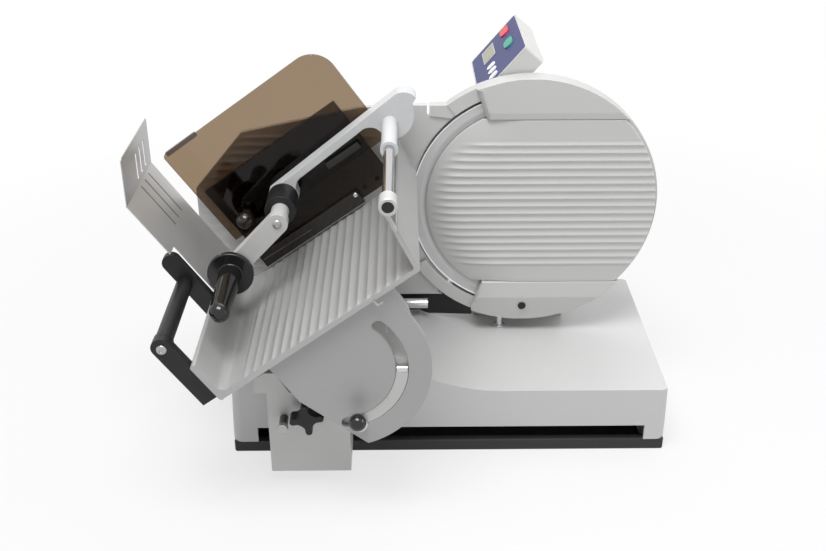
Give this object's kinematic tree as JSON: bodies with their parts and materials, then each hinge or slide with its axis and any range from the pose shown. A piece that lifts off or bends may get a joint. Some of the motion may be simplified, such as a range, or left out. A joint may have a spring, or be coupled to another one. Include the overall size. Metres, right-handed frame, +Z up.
{
  "type": "electric food slicer",
  "caption": "Upright-blade electric food slicer with a sliding tilted tray, smoked holder plates, ribbed gauge plate, ring guard and a key panel.",
  "frame": {"origin": "centre of the plinth's underside, on the table", "axes": "+Z up, +X along the carriage's stroke towards the blade side, +Y away from the operator's tray side, square to the blade"},
  "size_m": [0.7265, 0.5354, 0.5368],
  "materials": {
    "silver": "satin anodised",
    "steel": "fine brushed",
    "chrome": "polished",
    "black": "fine grained",
    "gloss_black": "polished",
    "casting": "satin light grey",
    "smoke": "clear smoked brown",
    "iron": "painted",
    "rubber": "dull",
    "bronze": "machined",
    "panel_white": "satin",
    "fascia": "satin blue",
    "display": "glossy",
    "board": "dull",
    "red": "satin",
    "green": "satin",
    "key_white": "satin"
  },
  "bodies": {
    "base": {"base_housing": "silver", "base_plinth": "black", "guide_shaft": "chrome", "shaft_brackets": "silver", "support_rail": "steel", "blade_tower": "silver", "tower_cover": "silver", "motor": "iron", "drive_belt": "rubber", "blade_bearings": "steel", "blade_guard": "silver", "guard_segments": "silver", "blade_cover": "silver", "guard_post": "chrome", "gauge_guides": "silver", "interlock_rod": "chrome", "panel_neck": "silver", "panel_housing": "panel_white", "panel_fascia": "fascia", "display_window": "display", "control_board": "board", "mains_gland": "black"},
    "blade": {"blade": "steel", "blade_shaft": "steel", "blade_pulley": "iron"},
    "rotor": {"motor_rotor": "steel"},
    "gauge": {"gauge_plate": "silver", "gauge_carrier": "silver"},
    "dial": {"thickness_dial": "black", "dial_spindle": "steel"},
    "carriage": {"carriage_foot": "silver", "carriage_arm": "silver", "slide_bushes": "bronze", "tilt_pivot": "chrome", "stop_bolt": "chrome"},
    "roller": {"support_roller": "black"},
    "knob": {"star_knob": "black"},
    "clamp": {"clamp_lever": "chrome", "clamp_ball": "gloss_black"},
    "tray": {"tray": "silver", "tray_sector": "silver", "tray_carrier": "silver", "fence": "steel", "carriage_handle": "black", "holder_rod": "chrome", "rod_cap": "black"},
    "holder_slider": {"holder_sleeve": "casting"},
    "holder": {"holder_arm": "casting", "hub_bush": "black", "holder_link": "casting", "pusher_plate": "smoke", "grip_strip": "black", "hand_guard": "smoke", "guard_clip": "black", "holder_handle": "gloss_black"},
    "stop_key": {"stop_button": "red"},
    "start_key": {"start_button": "green"},
    "panel_key_1": {"key_1": "key_white"},
    "panel_key_2": {"key_2": "key_white"},
    "panel_key_3": {"key_3": "key_white"}
  },
  "joints": [
    {"name": "blade_spin", "type": "hinge", "parent": "base", "child": "blade", "pos_m": [0.113, 0.0095, 0.311], "axis": [0, 1, 0], "continuous": true},
    {"name": "motor_spin", "type": "hinge", "parent": "base", "child": "rotor", "pos_m": [0.113, 0.06, 0.048], "axis": [0, 1, 0], "continuous": true},
    {"name": "gauge_slide", "type": "slide", "parent": "base", "child": "gauge", "axis": [0, 1, 0], "range_m": [0, 0.02]},
    {"name": "dial_turn", "type": "hinge", "parent": "base", "child": "dial", "pos_m": [-0.3, -0.006, 0.075], "axis": [1, 0, 0], "range_deg": [0, 181]},
    {"name": "carriage_slide", "type": "slide", "parent": "base", "child": "carriage", "axis": [1, 0, 0], "range_m": [0, 0.368]},
    {"name": "roller_turn", "type": "hinge", "parent": "carriage", "child": "roller", "pos_m": [-0.191, -0.056, 0.058], "axis": [0, 1, 0], "continuous": true},
    {"name": "star_knob_turn", "type": "hinge", "parent": "carriage", "child": "knob", "pos_m": [-0.191, -0.25, 0.128], "axis": [0, 1, 0], "range_deg": [0, 180]},
    {"name": "clamp_turn", "type": "hinge", "parent": "carriage", "child": "clamp", "pos_m": [-0.12206, -0.3, 0.14852], "axis": [0, 1, 0], "range_deg": [0, 90]},
    {"name": "tray_tilt", "type": "hinge", "parent": "carriage", "child": "tray", "pos_m": [-0.14678, -0.2, 0.2246], "axis": [0, 1, 0], "range_deg": [0, 35.5]},
    {"name": "holder_slide", "type": "slide", "parent": "tray", "child": "holder_slider", "axis": [0, -1, 0], "range_m": [0, 0.1]},
    {"name": "holder_swing", "type": "hinge", "parent": "holder_slider", "child": "holder", "pos_m": [-0.08187, -0.0325, 0.4527], "axis": [0, 1, 0], "range_deg": [0, 80]},
    {"name": "stop_press", "type": "slide", "parent": "base", "child": "stop_key", "axis": [0.7593, 0, -0.6508], "range_m": [0, 0.0018], "stiffness_N_per_m": 1200},
    {"name": "start_press", "type": "slide", "parent": "base", "child": "start_key", "axis": [0.7593, 0, -0.6508], "range_m": [0, 0.0018], "stiffness_N_per_m": 1200},
    {"name": "key_1_press", "type": "slide", "parent": "base", "child": "panel_key_1", "axis": [0.7593, 0, -0.6508], "range_m": [0, 0.0012], "stiffness_N_per_m": 900},
    {"name": "key_2_press", "type": "slide", "parent": "base", "child": "panel_key_2", "axis": [0.7593, 0, -0.6508], "range_m": [0, 0.0012], "stiffness_N_per_m": 900},
    {"name": "key_3_press", "type": "slide", "parent": "base", "child": "panel_key_3", "axis": [0.7593, 0, -0.6508], "range_m": [0, 0.0012], "stiffness_N_per_m": 900}
  ],
  "couplings": [
    {"joint": "motor_spin", "follows": "blade_spin", "ratio": 3},
    {"joint": "dial_turn", "follows": "gauge_slide", "rad_per_m": 157.08},
    {"joint": "roller_turn", "follows": "carriage_slide", "rad_per_m": 90.909}
  ]
}
